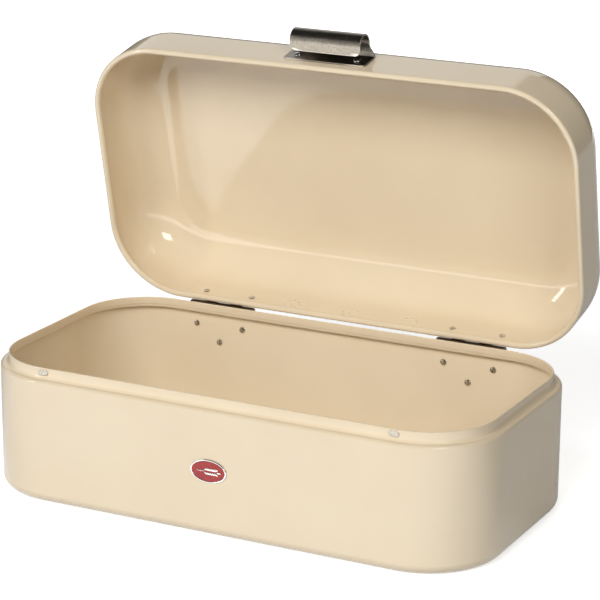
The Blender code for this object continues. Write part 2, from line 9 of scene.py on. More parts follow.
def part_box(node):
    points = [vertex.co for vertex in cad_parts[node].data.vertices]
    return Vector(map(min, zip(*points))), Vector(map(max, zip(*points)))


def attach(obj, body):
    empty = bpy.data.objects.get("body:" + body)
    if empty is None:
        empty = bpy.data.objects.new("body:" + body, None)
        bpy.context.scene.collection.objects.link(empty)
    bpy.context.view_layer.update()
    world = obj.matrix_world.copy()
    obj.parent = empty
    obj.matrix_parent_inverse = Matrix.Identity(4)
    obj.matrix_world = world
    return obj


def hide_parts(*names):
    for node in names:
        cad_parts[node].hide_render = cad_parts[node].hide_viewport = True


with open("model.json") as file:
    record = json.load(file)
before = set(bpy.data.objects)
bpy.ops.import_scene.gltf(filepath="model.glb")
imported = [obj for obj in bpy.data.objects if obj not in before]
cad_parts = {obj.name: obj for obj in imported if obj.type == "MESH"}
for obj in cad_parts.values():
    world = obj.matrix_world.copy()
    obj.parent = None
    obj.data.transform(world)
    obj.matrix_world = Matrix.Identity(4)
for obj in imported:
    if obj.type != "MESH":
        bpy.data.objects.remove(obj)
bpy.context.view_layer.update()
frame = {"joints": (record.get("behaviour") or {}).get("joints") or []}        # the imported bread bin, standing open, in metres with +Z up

MM = 0.001

# ------------------------------------------------------------------ sizes, as in the CAD model

BASE_LOW, BASE_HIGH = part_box("base_shell")
WIDTH = BASE_HIGH.x - BASE_LOW.x
DEPTH = BASE_HIGH.y - BASE_LOW.y
PLAN_RADIUS = 60.7 * MM
SHEET = 0.7 * MM
GAP = 0.3 * MM

NECK_HEIGHT = 8.6 * MM
NECK_TOP = BASE_HIGH.z
SHOULDER_Z = NECK_TOP - NECK_HEIGHT
BOTTOM_RADIUS = 8.6 * MM
SHOULDER_RADIUS = 2.3 * MM
NECK_INSET = 6.4 * MM
HEM_THICKNESS = 1.5 * MM
HEM_HEIGHT = 5.8 * MM

LID_HEIGHT = 65.4 * MM
TOP_RADIUS = 35.0 * MM
CURL_RADIUS = 2.45 * MM
CURL_TURN = 300.0
SEAM_GAP = 0.4 * MM
CORNER_STEPS = 28              # facets in each quarter turn of the plan

HINGE = frame["joints"][0]
AXIS = Vector(HINGE["pos_m"])
OPEN_ANGLE = math.radians(HINGE["range_deg"][1])
LEAF_LOW, LEAF_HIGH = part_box("hinge_right_base_leaf")
HINGE_X = (LEAF_LOW.x + LEAF_HIGH.x) / 2
HINGE_WIDTH = LEAF_HIGH.x - LEAF_LOW.x
KNUCKLES = 5
KNUCKLE_RADIUS = 2.85 * MM
KNUCKLE_GAP = 0.4 * MM
LEAF_SHEET = 1.2 * MM
WRAP = 290.0                   # degrees of knuckle roll
SLOT_REACH = 3.6 * MM
BASE_CRANK = (8.5 * MM, 11.0 * MM)
LID_CRANK = (4.2 * MM, 7.0 * MM)
LID_LEAF_RISE = 22.0 * MM
LEAF_CORNER = 3.0 * MM
LEAF_TAIL_RADIUS = 7.0 * MM
STOP_REACH = 8.0 * MM
STOP_THICKNESS = 1.6 * MM
STOP_INSET = 0.5 * MM
PIN_RADIUS = 1.5 * MM
PIN_HEAD_RADIUS = 2.4 * MM
PIN_HEAD = 1.0 * MM
PIN_PLAY = 0.2 * MM

RIVET_X = 21.3 * MM
BASE_RIVET_DROP = 11.6 * MM
BASE_TAIL_DROP = 25.5 * MM
LID_RIVET_RISE = 16.7 * MM
RIVET_RADIUS = 1.5 * MM
RIVET_HEAD_RADIUS = 2.7 * MM
RIVET_TAIL_RADIUS = 2.4 * MM
HOLE_PLAY = 0.3 * MM

VENT_SPACING = 53.0 * MM
VENT_RISE = 16.0 * MM
VENT_RING = 6.2 * MM
VENT_HOLES = 8
VENT_RADIUS = 0.95 * MM

HANDLE_PLATE_WIDTH = 70.4 * MM
HANDLE_GRIP_WIDTH = 60.4 * MM
HANDLE_TAPER = 9.0 * MM        # length past the fold over which the sheet narrows to the grip
HANDLE_SHEET = 1.2 * MM
HANDLE_FOOT_H = 8.5 * MM
HANDLE_TOP_H = 28.4 * MM
HANDLE_FOLD_RADIUS = 1.0 * MM
HANDLE_FOLD_STEPS = 8
HANDLE_NOSE = (12.2 * MM, 22.0 * MM)
HANDLE_NOSE_RADIUS = 9.2 * MM
HANDLE_NOSE_STEPS = 44
HANDLE_LIP_U = 6.5 * MM
HANDLE_PLATE_CORNER = 3.5 * MM
HANDLE_LIP_CORNER = 5.5 * MM
HANDLE_RIVET_X = 25.4 * MM
HANDLE_RIVET_H = 16.8 * MM
HANDLE_RIVET_HEAD = 3.3 * MM
HANDLE_RIVET_RISE = 1.7 * MM

BADGE_LOW, BADGE_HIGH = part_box("badge_rim")
BADGE_RIM = 1.4 * MM
BADGE_MIDDLE_Z = (BADGE_LOW.z + BADGE_HIGH.z) / 2
GRAIN_PAIRS = 5
GRAIN_PITCH = 2.1 * MM         # between pairs of grains along the ear
GRAIN_RISE = 0.22 * MM

DRILL_DEPTH = 6.0 * MM
Z_TO_FRONT = Matrix.Rotation(math.radians(90), 4, "X")    # lays a piece made along Z to face -Y
OPENED = (Matrix.Translation(AXIS) @ Matrix.Rotation(-OPEN_ANGLE, 4, "X")
          @ Matrix.Translation(-AXIS))    # from the shut lid's place to where it stands open


# ------------------------------------------------------------------ camera

CAMERA_PLACE = Vector((0.8564, -1.6544, 0.7093))
CAMERA_TARGET = Vector((0.0108, 0.0, 0.1470))
CAMERA_ROLL = 0.0063
CAMERA_LENS = 152.33
CAMERA_SHIFT = (0.0148, 0.0204)


def add_camera():
    data = bpy.data.cameras.new("camera")
    data.lens = CAMERA_LENS
    data.shift_x, data.shift_y = CAMERA_SHIFT
    camera = bpy.data.objects.new("camera", data)
    turn = (CAMERA_TARGET - CAMERA_PLACE).to_track_quat("-Z", "Y").to_matrix().to_4x4()
    roll = Matrix.Rotation(CAMERA_ROLL, 4, "Z")
    camera.matrix_world = Matrix.Translation(CAMERA_PLACE) @ turn @ roll
    bpy.context.scene.collection.objects.link(camera)
    bpy.context.scene.camera = camera


# ------------------------------------------------------------------ node helpers

class Nodes:
    """Adds nodes to a material and wires them, from left to right."""

    def __init__(self, material):
        self.tree = material.node_tree
        self.shader = self.tree.nodes["Principled BSDF"]

    def add(self, kind, settings=None, **inputs):
        node = self.tree.nodes.new(kind)
        for name, value in (settings or {}).items():
            setattr(node, name, value)
        for name, value in inputs.items():
            self.feed(node.inputs[name.replace("_", " ")], value)
        return node

    def feed(self, socket, value):
        if isinstance(value, bpy.types.NodeSocket):
            self.tree.links.new(value, socket)
        else:
            socket.default_value = value

    def noise(self, place, scale, detail=2.0, roughness=0.5):
        node = self.add("ShaderNodeTexNoise", Vector=place, Scale=scale, Detail=detail,
                        Roughness=roughness)
        return node.outputs["Fac"]

    def ramp(self, value, stops):
        """A colour ramp; stops are (position, RGB)."""
        node = self.add("ShaderNodeValToRGB", Fac=value)
        elements = node.color_ramp.elements
        while len(elements) < len(stops):
            elements.new(0.5)
        for element, (position, colour) in zip(elements, stops):
            element.position = position
            element.color = (*colour, 1.0)
        return node.outputs["Color"]

    def spread(self, value, low=0.0, high=1.0):
        """Noise, which stays near its middle, spread out to the range from low to high."""
        node = self.add("ShaderNodeMapRange", Value=value)
        node.inputs["From Min"].default_value = 0.3
        node.inputs["From Max"].default_value = 0.7
        node.inputs["To Min"].default_value = low
        node.inputs["To Max"].default_value = high
        return node.outputs["Result"]

    def two_tone(self, noise, first, second):
        """Noise as a colour between two RGB colours."""
        return self.ramp(self.spread(noise), [(0.0, first), (1.0, second)])

    def mix(self, factor, first, second):
        node = self.add("ShaderNodeMix", {"data_type": "RGBA"})
        self.feed(node.inputs["Factor"], factor)
        self.feed(node.inputs[6], first)
        self.feed(node.inputs[7], second)
        return node.outputs[2]

    def compute(self, operation, first, second=None):
        node = self.add("ShaderNodeMath", {"operation": operation})
        self.feed(node.inputs[0], first)
        if second is not None:
            self.feed(node.inputs[1], second)
        return node.outputs[0]

    def bump(self, height, strength, distance, normal=None):
        node = self.add("ShaderNodeBump", Height=height, Strength=strength, Distance=distance)
        if normal is not None:
            self.feed(node.inputs["Normal"], normal)
        return node.outputs["Normal"]

    def stretched(self, place, scale):
        node = self.add("ShaderNodeMapping", Vector=place)
        node.inputs["Scale"].default_value = scale
        return node.outputs["Vector"]

    def place(self):
        return self.add("ShaderNodeTexCoord").outputs["Object"]

    def attribute(self, name):
        return self.add("ShaderNodeAttribute", {"attribute_name": name}).outputs["Fac"]


def new_material(name, **inputs):
    """A material whose even values sit on the shader's own sockets."""
    material = bpy.data.materials.new(name)
    material.use_nodes = True
    nodes = Nodes(material)
    for key, value in inputs.items():
        nodes.shader.inputs[key.replace("_", " ")].default_value = value
    return material, nodes


# ------------------------------------------------------------------ finishes

TURNING_PITCH = 0.22 * MM      # between the turning marks on pins and rivets


def enamel():
    """Glossy cream enamel: faint cloudiness, a fine orange-peel surface, darker where thin over
    rolled edges, with painted shade at the foot of the neck's hem.
    """
    material, n = new_material("cream_enamel", IOR=1.6)
    place = n.place()
    cloud = n.noise(place, 14.0, 3.0)
    colour = n.two_tone(cloud, (0.790, 0.660, 0.472), (0.820, 0.695, 0.502))
    speck = n.noise(place, 2600.0, 1.0)
    colour = n.mix(n.spread(speck, 0.0, 0.05), colour, (0.70, 0.53, 0.33, 1.0))
    # edge mask: thin enamel over rolled edges, and painted shade, darkest at the hem's foot inside
    # the neck
    colour = n.mix(n.attribute("edge"), colour, (0.62, 0.47, 0.30, 1.0))
    n.feed(n.shader.inputs["Base Color"], colour)
    dull = n.noise(place, 60.0, 4.0)
    n.feed(n.shader.inputs["Roughness"], n.spread(dull, 0.06, 0.10))
    peel = n.noise(place, 260.0, 1.0)
    wave = n.noise(place, 22.0, 0.0)
    normal = n.bump(wave, 0.10, 1.0 * MM)
    normal = n.bump(peel, 0.035, 0.4 * MM, normal)
    n.feed(n.shader.inputs["Normal"], normal)
    return material


def handle_steel():
    """Warm grey tumbled steel: a short grain both ways, with its rubbed edges painted near-white as a
    painted highlight for light catching the bevels.
    """
    material, n = new_material("handle_steel", Metallic=1.0)
    place = n.place()
    grain = n.noise(n.stretched(place, (900.0, 1500.0, 1500.0)), 1.0, 3.0, 0.7)
    patch = n.noise(place, 190.0, 3.0)
    colour = n.two_tone(grain, (0.20, 0.175, 0.145), (0.50, 0.455, 0.385))
    colour = n.mix(n.spread(patch, 0.0, 0.35), colour, (0.27, 0.235, 0.195, 1.0))
    # painted highlight: sharp edges painted near-white, brighter than wear alone, standing in for
    # light catching the bevels
    colour = n.mix(n.attribute("edge"), colour, (0.92, 0.87, 0.78, 1.0))
    n.feed(n.shader.inputs["Base Color"], colour)
    n.feed(n.shader.inputs["Roughness"], n.spread(grain, 0.26, 0.42))
    n.feed(n.shader.inputs["Normal"], n.bump(grain, 0.35, 0.12 * MM))
    return material


def hinge_steel():
    """Dark satin sheet, drawn along its length, with rubbed edges."""
    material, n = new_material("hinge_steel", Metallic=1.0)
    place = n.place()
    lines = n.noise(n.stretched(place, (300.0, 5200.0, 5200.0)), 1.0, 2.0)
    patch = n.noise(place, 240.0, 3.0)
    colour = n.two_tone(patch, (0.17, 0.13, 0.09), (0.32, 0.25, 0.175))
    colour = n.mix(n.attribute("edge"), colour, (0.48, 0.40, 0.30, 1.0))
    n.feed(n.shader.inputs["Base Color"], colour)
    n.feed(n.shader.inputs["Roughness"], n.spread(lines, 0.34, 0.50))
    n.feed(n.shader.inputs["Normal"], n.bump(lines, 0.18, 0.06 * MM))
    return material


def turned_steel(name, dark, pale, roughness):
    """Steel with turning marks round the piece's own axis."""
    material, n = new_material(name, Metallic=1.0)
    place = n.place()
    radius = n.attribute("turn_radius")
    wave = n.compute("SINE", n.compute("MULTIPLY", radius, 2 * math.pi / TURNING_PITCH))
    patch = n.noise(place, 900.0, 3.0)
    n.feed(n.shader.inputs["Base Color"], n.two_tone(patch, dark, pale))
    n.feed(n.shader.inputs["Roughness"], n.spread(patch, roughness - 0.05, roughness + 0.07))
    n.feed(n.shader.inputs["Normal"], n.bump(wave, 0.12, 0.03 * MM))
    return material


def silicone():
    """Clear soft silicone, milky enough to take the colour behind it, with a dusty skin."""
    material, n = new_material("silicone", IOR=1.41, Transmission_Weight=0.25)
    cloud = n.noise(n.place(), 700.0, 2.0)
    colour = n.two_tone(cloud, (0.76, 0.70, 0.60), (0.88, 0.83, 0.75))
    n.feed(n.shader.inputs["Base Color"], colour)
    n.feed(n.shader.inputs["Roughness"], n.spread(cloud, 0.20, 0.34))
    n.feed(n.shader.inputs["Normal"], n.bump(cloud, 0.1, 0.05 * MM))
    return material


def badge_metal():
    """Polished plating with hairline scratches."""
    material, n = new_material("badge_metal", Metallic=1.0)
    place = n.place()
    hair = n.noise(n.stretched(place, (900.0, 900.0, 7000.0)), 1.0, 2.0)
    colour = n.two_tone(hair, (0.62, 0.61, 0.59), (0.80, 0.79, 0.77))
    n.feed(n.shader.inputs["Base Color"], colour)
    n.feed(n.shader.inputs["Roughness"], n.spread(hair, 0.14, 0.24))
    n.feed(n.shader.inputs["Normal"], n.bump(hair, 0.05, 0.03 * MM))
    return material


def badge_enamel():
    """Glossy dark red enamel poured into the badge, slightly uneven in colour as it flowed."""
    material, n = new_material("badge_enamel", IOR=1.5)
    place = n.place()
    flow = n.noise(place, 420.0, 3.0)
    colour = n.two_tone(flow, (0.30, 0.012, 0.012), (0.43, 0.022, 0.020))
    n.feed(n.shader.inputs["Base Color"], colour)
    n.feed(n.shader.inputs["Roughness"], n.spread(flow, 0.09, 0.16))
    n.feed(n.shader.inputs["Normal"], n.bump(flow, 0.05, 0.1 * MM))
    return material


# ------------------------------------------------------------------ mesh helpers

def arc(centre, radius, start, end, steps):
    """Points on an arc between two angles in degrees."""
    points = []
    for i in range(steps + 1):
        angle = math.radians(start + (end - start) * i / steps)
        points.append((centre[0] + radius * math.cos(angle), centre[1] + radius * math.sin(angle)))
    return points


def plan_ring(inset, z):
    """The body's rounded rectangle, moved inwards by inset, at height z."""
    radius = PLAN_RADIUS - inset
    centre_x = WIDTH / 2 - PLAN_RADIUS
    centre_y = DEPTH / 2 - PLAN_RADIUS
    ring = []
    for side_x, side_y, start in ((1, 1, 0), (-1, 1, 90), (-1, -1, 180), (1, -1, 270)):
        corner = (side_x * centre_x, side_y * centre_y)
        for x, y in arc(corner, radius, start, start + 90, CORNER_STEPS):
            ring.append(Vector((x, y, z)))
    return ring


def skin(bm, rings):
    """Quads between rings of equal length, with a flat face on the first and the last."""
    loops = [[bm.verts.new(point) for point in ring] for ring in rings]
    for first, second in zip(loops, loops[1:]):
        for i in range(len(first)):
            j = (i + 1) % len(first)
            bm.faces.new((first[i], first[j], second[j], second[i]))
    bm.faces.new(loops[0])
    bm.faces.new(loops[-1])
    return loops


def edge_layer(bm):
    return bm.verts.layers.float.get("edge") or bm.verts.layers.float.new("edge")


def add_object(name, bm):
    bmesh.ops.recalc_face_normals(bm, faces=bm.faces)
    mesh = bpy.data.meshes.new(name)
    bm.to_mesh(mesh)
    bm.free()
    obj = bpy.data.objects.new(name, mesh)
    bpy.context.scene.collection.objects.link(obj)
    return obj


def modify(obj, kind, **settings):
    modifier = obj.modifiers.new(kind.lower(), kind)
    for name, value in settings.items():
        setattr(modifier, name, value)


def apply_modifiers(obj):
    """Turns what the modifiers make into the object's own mesh."""
    graph = bpy.context.evaluated_depsgraph_get()
    mesh = bpy.data.meshes.new_from_object(obj.evaluated_get(graph))
    obj.modifiers.clear()
    old = obj.data
    obj.data = mesh
    bpy.data.meshes.remove(old)
    mesh.name = obj.name


def combine(obj, cutter, operation):
    """Cuts or joins another object into obj, and removes that object."""
    modify(obj, "BOOLEAN", operation=operation, solver="EXACT", object=cutter)
    apply_modifiers(obj)
    bpy.data.objects.remove(cutter)


def drill(obj, places, radius=RIVET_RADIUS + HOLE_PLAY, sides=20):
    """Round holes along Y through a wall at each place, for rivets unless a radius is given."""
    bm = bmesh.new()
    for place in places:
        bmesh.ops.create_cone(bm, cap_ends=True, segments=sides, radius1=radius, radius2=radius,
                              depth=DRILL_DEPTH, matrix=Matrix.Translation(place) @ Z_TO_FRONT)
    combine(obj, add_object("drill", bm), "DIFFERENCE")


def finish_piece(obj, material, body, nodes=(), opened=False, smooth=40):
    """Shades, paints and registers a piece.

    opened swings it from the shut lid's place; edges turning more than smooth degrees stay sharp.
    """
    if opened:
        obj.data.transform(OPENED)
    obj.data.shade_smooth()
    obj.data.set_sharp_from_angle(angle=math.radians(smooth))
    obj.data.materials.clear()
    obj.data.materials.append(material)
    modify(obj, "WEIGHTED_NORMAL", keep_sharp=True, weight=50)
    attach(obj, body)
    if nodes:
        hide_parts(*nodes)


# ------------------------------------------------------------------ base and lid shells

def marked(stretches):
    """Stretches of (points, edge) as one list of (inset, z, edge)."""
    return [(inset, z, edge) for points, edge in stretches for inset, z in points]


def base_profile():
    """Outer skin from the underside up to the neck's hem, then the inner skin back down.

    Each point is (inset, z, edge); edge is how much the enamel darkens there: thin enamel over the
    rolled edges, and painted shade at the hem's foot inside the neck.
    """
    floor_centre = (BOTTOM_RADIUS, BOTTOM_RADIUS)
    shoulder_centre = (SHOULDER_RADIUS, SHOULDER_Z - SHOULDER_RADIUS)
    root_centre = (NECK_INSET - SHOULDER_RADIUS, SHOULDER_Z + SHOULDER_RADIUS)
    hem = HEM_THICKNESS / 2
    hem_foot = NECK_TOP - HEM_HEIGHT
    inner = SHOULDER_RADIUS - SHEET
    outer = SHOULDER_RADIUS + SHEET
    stretches = [
        (arc(floor_centre, BOTTOM_RADIUS, 270, 180, 16), 0.0),
        (arc(shoulder_centre, SHOULDER_RADIUS, 180, 90, 8), 0.10),
        (arc(root_centre, SHOULDER_RADIUS, 270, 360, 8), 0.0),
        (arc((NECK_INSET + hem, NECK_TOP - hem), hem, 180, 0, 10), 0.15),
        # the hem's foot is darkened most: painted shade under the hem
        (arc((NECK_INSET + HEM_THICKNESS - hem / 3, hem_foot + hem / 3), hem / 3, 360, 270, 3), 0.3),
        ([(NECK_INSET + SHEET, hem_foot)], 0.5),
        (arc(root_centre, outer, 360, 270, 8), 0.0),
        (arc(shoulder_centre, inner, 90, 180, 8), 0.0),
        (arc(floor_centre, BOTTOM_RADIUS - SHEET, 180, 270, 16), 0.0),
    ]
    return marked(stretches)


def lid_profile():
    """Outer skin from the top down round the rolled edge, then the inner skin back up."""
    top_centre = (TOP_RADIUS, SHOULDER_Z + LID_HEIGHT - TOP_RADIUS)
    curl_centre = (CURL_RADIUS, SHOULDER_Z + SEAM_GAP + CURL_RADIUS)
    curl_end = 180 + CURL_TURN
    stretches = [
        (arc(top_centre, TOP_RADIUS, 90, 180, 28), 0.0),
        (arc(curl_centre, CURL_RADIUS, 180, curl_end, 26), 0.08),
        (arc(curl_centre, CURL_RADIUS - SHEET, curl_end, 180, 26), 0.3),
        (arc(top_centre, TOP_RADIUS - SHEET, 180, 90, 28), 0.0),
    ]
    return marked(stretches)


def shell(name, profile):
    bm = bmesh.new()
    layer = edge_layer(bm)
    loops = skin(bm, [plan_ring(inset, z) for inset, z, _ in profile])
    for loop, (_, _, edge) in zip(loops, profile):
        for vert in loop:
            vert[layer] = edge
    return add_object(name, bm)


def base_rivet_places():
    """Three through the base's back wall at each hinge, left hinge first."""
    triangle = ((-RIVET_X, BASE_RIVET_DROP), (RIVET_X, BASE_RIVET_DROP), (0, BASE_TAIL_DROP))
    return [Vector((side * HINGE_X + shift, DEPTH / 2, SHOULDER_Z - drop))
            for side in (-1, 1) for shift, drop in triangle]


def lid_rivet_places():
    """Two through the lid's back wall at each hinge, left hinge first."""
    height = SHOULDER_Z + LID_RIVET_RISE
    return [Vector((side * HINGE_X + shift, DEPTH / 2, height))
            for side in (-1, 1) for shift in (-RIVET_X, RIVET_X)]


def handle_rivet_places():
    height = SHOULDER_Z + HANDLE_RIVET_H
    return [Vector((side * HANDLE_RIVET_X, -DEPTH / 2, height)) for side in (-1, 1)]


def vent_places():
    """Three rosettes, each a ring of holes round one in the middle."""
    places = []
    for column in (-1, 0, 1):
        centre = Vector((column * VENT_SPACING, DEPTH / 2, SHOULDER_Z + VENT_RISE))
        places.append(centre)
        for x, z in arc((centre.x, centre.z), VENT_RING, 0, 360, VENT_HOLES)[:-1]:
            places.append(Vector((x, DEPTH / 2, z)))
    return places


def make_shells(paint):
    base = shell("base_enamelled_shell", base_profile())
    drill(base, base_rivet_places())
    finish_piece(base, paint, "base", ["base_shell"])
    lid = shell("lid_enamelled_shell", lid_profile())
    drill(lid, lid_rivet_places() + handle_rivet_places())
    drill(lid, vent_places(), VENT_RADIUS, 16)
    finish_piece(lid, paint, "lid", ["lid_shell"], opened=True)


# ------------------------------------------------------------------ hinges

def knuckle_edges(first):
    """Left and right ends of every second knuckle, from the hinge's middle."""
    pitch = HINGE_WIDTH / KNUCKLES
    edges = []
    for i in range(first, KNUCKLES, 2):
        left = -HINGE_WIDTH / 2 + i * pitch
        right = left + pitch
        left += KNUCKLE_GAP / 2 if i > 0 else 0
        right -= KNUCKLE_GAP / 2 if i < KNUCKLES - 1 else 0
        edges.append((left, right))
    return edges


def base_foot():
    """The base leaf's lower edge, from right to left, narrowing to a round tail."""
    tail_z = SHOULDER_Z - BASE_TAIL_DROP - AXIS.z
    rivet_z = SHOULDER_Z - BASE_RIVET_DROP - AXIS.z
    corner = HINGE_WIDTH / 2 - LEAF_CORNER
    foot = arc((corner, rivet_z - LEAF_CORNER), LEAF_CORNER, 0, -60, 6)
    foot += arc((0, tail_z), LEAF_TAIL_RADIUS, -45, -135, 14)
    foot += arc((-corner, rivet_z - LEAF_CORNER), LEAF_CORNER, -120, -180, 6)
    return foot


def lid_foot():
    end = SHOULDER_Z + LID_LEAF_RISE - AXIS.z
    corner = HINGE_WIDTH / 2 - LEAF_CORNER
    foot = arc((corner, end - LEAF_CORNER), LEAF_CORNER, 0, 90, 6)
    foot += arc((-corner, end - LEAF_CORNER), LEAF_CORNER, 90, 180, 6)
    return foot


def leaf(name, up, first, crank, foot):
    """A leaf's middle surface about the hinge's middle: flat foot, crank, rolled knuckles.

    up is 1 for the leaf that rises from the axis and -1 for the one that hangs from it.
    """
    near, far = crank
    knuckle = KNUCKLE_RADIUS - LEAF_SHEET / 2
    wall = DEPTH / 2 - AXIS.y + GAP + LEAF_SHEET / 2
    half = HINGE_WIDTH / 2
    ends = knuckle_edges(first)
    columns = sorted({-half, half} | {x for pair in ends for x in pair})
    bm = bmesh.new()
    rows = []
    for y, z in ((wall, up * far), (-knuckle, up * near), (-knuckle, up * SLOT_REACH)):
        rows.append([bm.verts.new((x, y, z)) for x in columns])
    for first_row, second_row in zip(rows, rows[1:]):
        for i in range(len(columns) - 1):
            bm.faces.new((first_row[i], first_row[i + 1], second_row[i + 1], second_row[i]))
    bm.faces.new(rows[0] + [bm.verts.new((x, wall, z)) for x, z in foot])
    roll = [(-knuckle, 0)] + arc((0, 0), knuckle, 180, 180 + up * WRAP, 32)[1:]
    for left, right in ends:
        before = [rows[-1][columns.index(left)], rows[-1][columns.index(right)]]
        for y, z in roll:
            after = [bm.verts.new((left, y, z)), bm.verts.new((right, y, z))]
            bm.faces.new((before[0], before[1], after[1], after[0]))
            before = after
    obj = add_object(name, bm)
    modify(obj, "SOLIDIFY", thickness=LEAF_SHEET, offset=0.0, use_even_offset=True)
    modify(obj, "BEVEL", width=0.18 * MM, segments=2, limit_method="ANGLE",
           angle_limit=math.radians(50))
    apply_modifiers(obj)
    return obj


def add_stops(lid_leaf):
    """Lugs on the lid's knuckles, which lie against the base leaf when the lid stands open."""
    front = -(KNUCKLE_RADIUS - LEAF_SHEET) + GAP
    top = -(PIN_RADIUS + PIN_PLAY + KNUCKLE_RADIUS) / 2 + PIN_PLAY
    bm = bmesh.new()
    for left, right in knuckle_edges(1):
        size = Vector((right - left - 2 * STOP_INSET, STOP_THICKNESS, STOP_REACH + top))
        centre = Vector(((left + right) / 2, front + STOP_THICKNESS / 2, top - size.z / 2))
        block = bmesh.ops.create_cube(bm, size=1)["verts"]
        bmesh.ops.scale(bm, vec=size, verts=block)
        bmesh.ops.translate(bm, vec=centre, verts=block)
    bmesh.ops.transform(bm, matrix=Matrix.Rotation(OPEN_ANGLE, 4, "X"), verts=bm.verts)
    lugs = add_object("lugs", bm)
    modify(lugs, "BEVEL", width=0.25 * MM, segments=2, limit_method="ANGLE")
    apply_modifiers(lugs)
    combine(lid_leaf, lugs, "UNION")


def mark_edges(obj, width=0.3 * MM):
    """Marks the ends of sharp edges longer than width, for worn finishes and for the handle's painted
    edge highlight.
    """
    mesh = obj.data
    bm = bmesh.new()
    bm.from_mesh(mesh)
    layer = edge_layer(bm)
    for vert in bm.verts:
        vert[layer] = 0.0
    for edge in bm.edges:
        sharp = len(edge.link_faces) == 2 and edge.calc_face_angle(0.0) > math.radians(20)
        if sharp and edge.calc_length() > width:
            for vert in edge.verts:
                vert[layer] = 1.0
    bm.to_mesh(mesh)
    bm.free()


def pin_profile():
    """From the plain end at +X to the head's outer face at -X, as (radius, distance)."""
    half = HINGE_WIDTH / 2
    head = -half - PIN_PLAY
    chamfer = 0.3 * MM
    bulge = PIN_HEAD / 2
    profile = [(0, half + 2 * chamfer)]
    profile += arc((PIN_RADIUS - chamfer, half + chamfer), chamfer, 90, 0, 4)
    profile += [(PIN_RADIUS, head), (PIN_HEAD_RADIUS - 0.1 * MM, head)]
    profile += [(PIN_HEAD_RADIUS, head - 0.1 * MM), (PIN_HEAD_RADIUS, head - bulge)]
    for degrees in (20, 40, 60, 75):
        angle = math.radians(degrees)
        profile.append((PIN_HEAD_RADIUS * math.cos(angle), head - bulge - bulge * math.sin(angle)))
    return profile + [(0, head - PIN_HEAD)]


def turned(name, profile, steps, matrix):
    """A turned piece: the outline spun about Z, then placed. Stores each point's radius."""
    bm = bmesh.new()
    layer = bm.verts.layers.float.new("turn_radius")
    rings = []
    for radius, z in profile:
        if radius == 0:
            rings.append([bm.verts.new((0, 0, z))])
        else:
            around = arc((0, 0), radius, 0, 360, steps)[:-1]
            rings.append([bm.verts.new((x, y, z)) for x, y in around])
        for vert in rings[-1]:
            vert[layer] = radius
    for first, second in zip(rings, rings[1:]):
        for i in range(steps):
            j = (i + 1) % steps
            corners = [first[i % len(first)], first[j % len(first)],
                       second[j % len(second)], second[i % len(second)]]
            bm.faces.new(list(dict.fromkeys(corners)))
    bmesh.ops.transform(bm, matrix=matrix, verts=bm.verts)
    return add_object(name, bm)


def make_hinges(steel, pin_steel):
    for side, sign in (("left", -1), ("right", 1)):
        shift = Matrix.Translation((sign * HINGE_X, AXIS.y, AXIS.z))
        base_leaf = leaf(f"hinge_{side}_base_plate", -1, 0, BASE_CRANK, base_foot())
        mark_edges(base_leaf)
        base_leaf.data.transform(shift)
        drill(base_leaf, [p for p in base_rivet_places() if p.x * sign > 0])
        finish_piece(base_leaf, steel, "base", [f"hinge_{side}_base_leaf"])
        lid_leaf = leaf(f"hinge_{side}_lid_plate", 1, 1, LID_CRANK, lid_foot())
        add_stops(lid_leaf)
        mark_edges(lid_leaf)
        lid_leaf.data.transform(shift)
        drill(lid_leaf, [p for p in lid_rivet_places() if p.x * sign > 0])
        finish_piece(lid_leaf, steel, "lid", [f"hinge_{side}_lid_leaf"], opened=True)
        along = shift @ Matrix.Rotation(math.radians(90), 4, "Y")
        pin = turned(f"hinge_{side}_axle", pin_profile(), 28, along)
        finish_piece(pin, pin_steel, "base", [f"hinge_{side}_pin"])


# ------------------------------------------------------------------ rivets

def blind_rivet_profile():
    """Z runs into the bin: domed flange round the broken mandrel, shank, then the outer tail."""
    recess = 0.95 * MM
    crown = GAP + 0.9 * MM
    edge = GAP + 0.22 * MM
    tail = -(SHEET + 2 * GAP + LEAF_SHEET)
    end = tail - 1.4 * MM
    flange = RIVET_HEAD_RADIUS - recess - 0.25 * MM
    profile = [(0, crown - 0.30 * MM), (0.35 * MM, crown - 0.36 * MM), (0.75 * MM, crown - 0.50 * MM),
               (recess - 0.05 * MM, crown - 0.55 * MM), (recess, crown - 0.08 * MM),
               (recess + 0.08 * MM, crown)]
    for degrees in range(90, -1, -18):
        angle = math.radians(degrees)
        profile.append((recess + 0.25 * MM + flange * math.cos(angle),
                        edge + (crown - edge) * math.sin(angle)))
    profile += [(RIVET_HEAD_RADIUS, GAP + 0.05 * MM), (RIVET_HEAD_RADIUS - 0.05 * MM, GAP),
                (RIVET_RADIUS, GAP), (RIVET_RADIUS, tail), (RIVET_TAIL_RADIUS - 0.05 * MM, tail)]
    for degrees in range(0, 81, 20):
        angle = math.radians(degrees)
        profile.append((RIVET_TAIL_RADIUS * math.cos(angle) + 0.4 * MM * math.sin(angle),
                        tail - 0.1 * MM - (tail - end - 0.1 * MM) * math.sin(angle)))
    return profile + [(0, end)]


